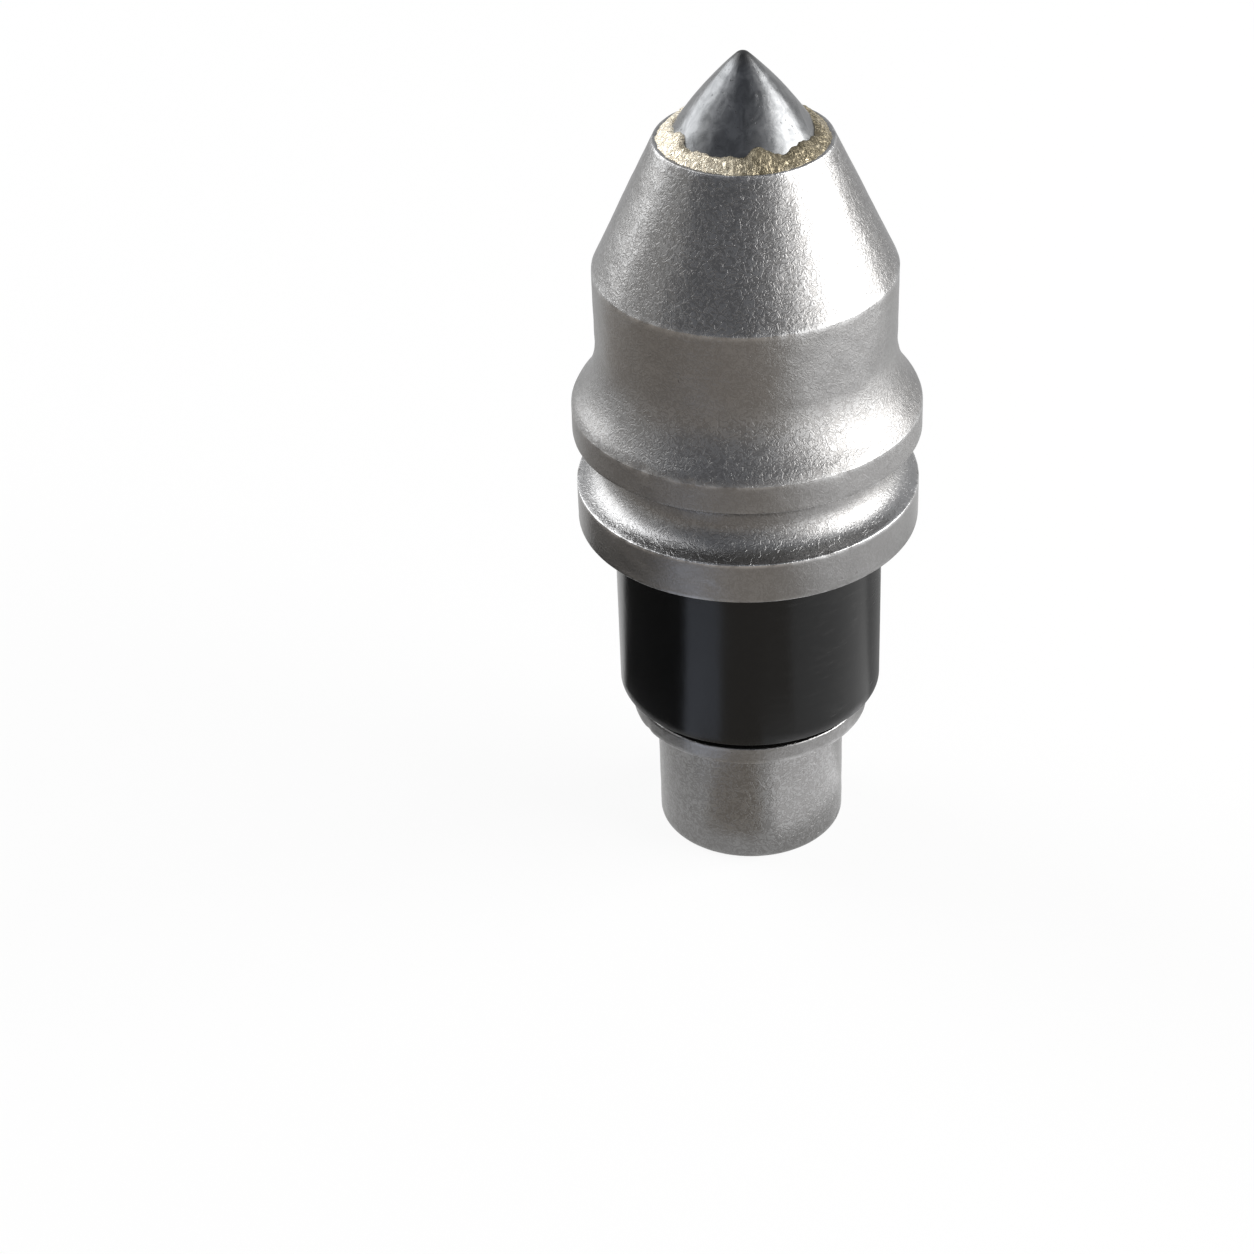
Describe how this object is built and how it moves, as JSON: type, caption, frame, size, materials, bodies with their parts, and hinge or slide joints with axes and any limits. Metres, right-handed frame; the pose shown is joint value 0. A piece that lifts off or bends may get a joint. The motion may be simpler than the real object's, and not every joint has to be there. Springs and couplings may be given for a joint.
{
  "type": "conical cutting pick",
  "caption": "Round-shank conical cutting pick: turned steel body with a puller groove, a brazed carbide point, and a rolled spring sleeve in which the body turns.",
  "frame": {"origin": "centre of the flat end of the tail, on which the pick stands", "axes": "+Z along the pick's axis, from the tail to the point; the seam of the retaining sleeve faces +Y"},
  "size_m": [0.0533, 0.0532, 0.1341],
  "materials": {
    "body_steel": "shot-blasted satin",
    "tip_carbide": "ground, half-bright",
    "braze_alloy": "rough as-flowed",
    "sleeve_steel": "black oxide, semi-gloss"
  },
  "bodies": {
    "pick": {"pick_body": "body_steel", "carbide_tip": "tip_carbide", "braze_joint": "braze_alloy"},
    "sleeve": {"retaining_sleeve": "sleeve_steel"}
  },
  "joints": [
    {"name": "sleeve_spin", "type": "hinge", "parent": "pick", "child": "sleeve", "pos_m": [0, 0, 0.04245], "axis": [0, 0, 1], "continuous": true}
  ]
}
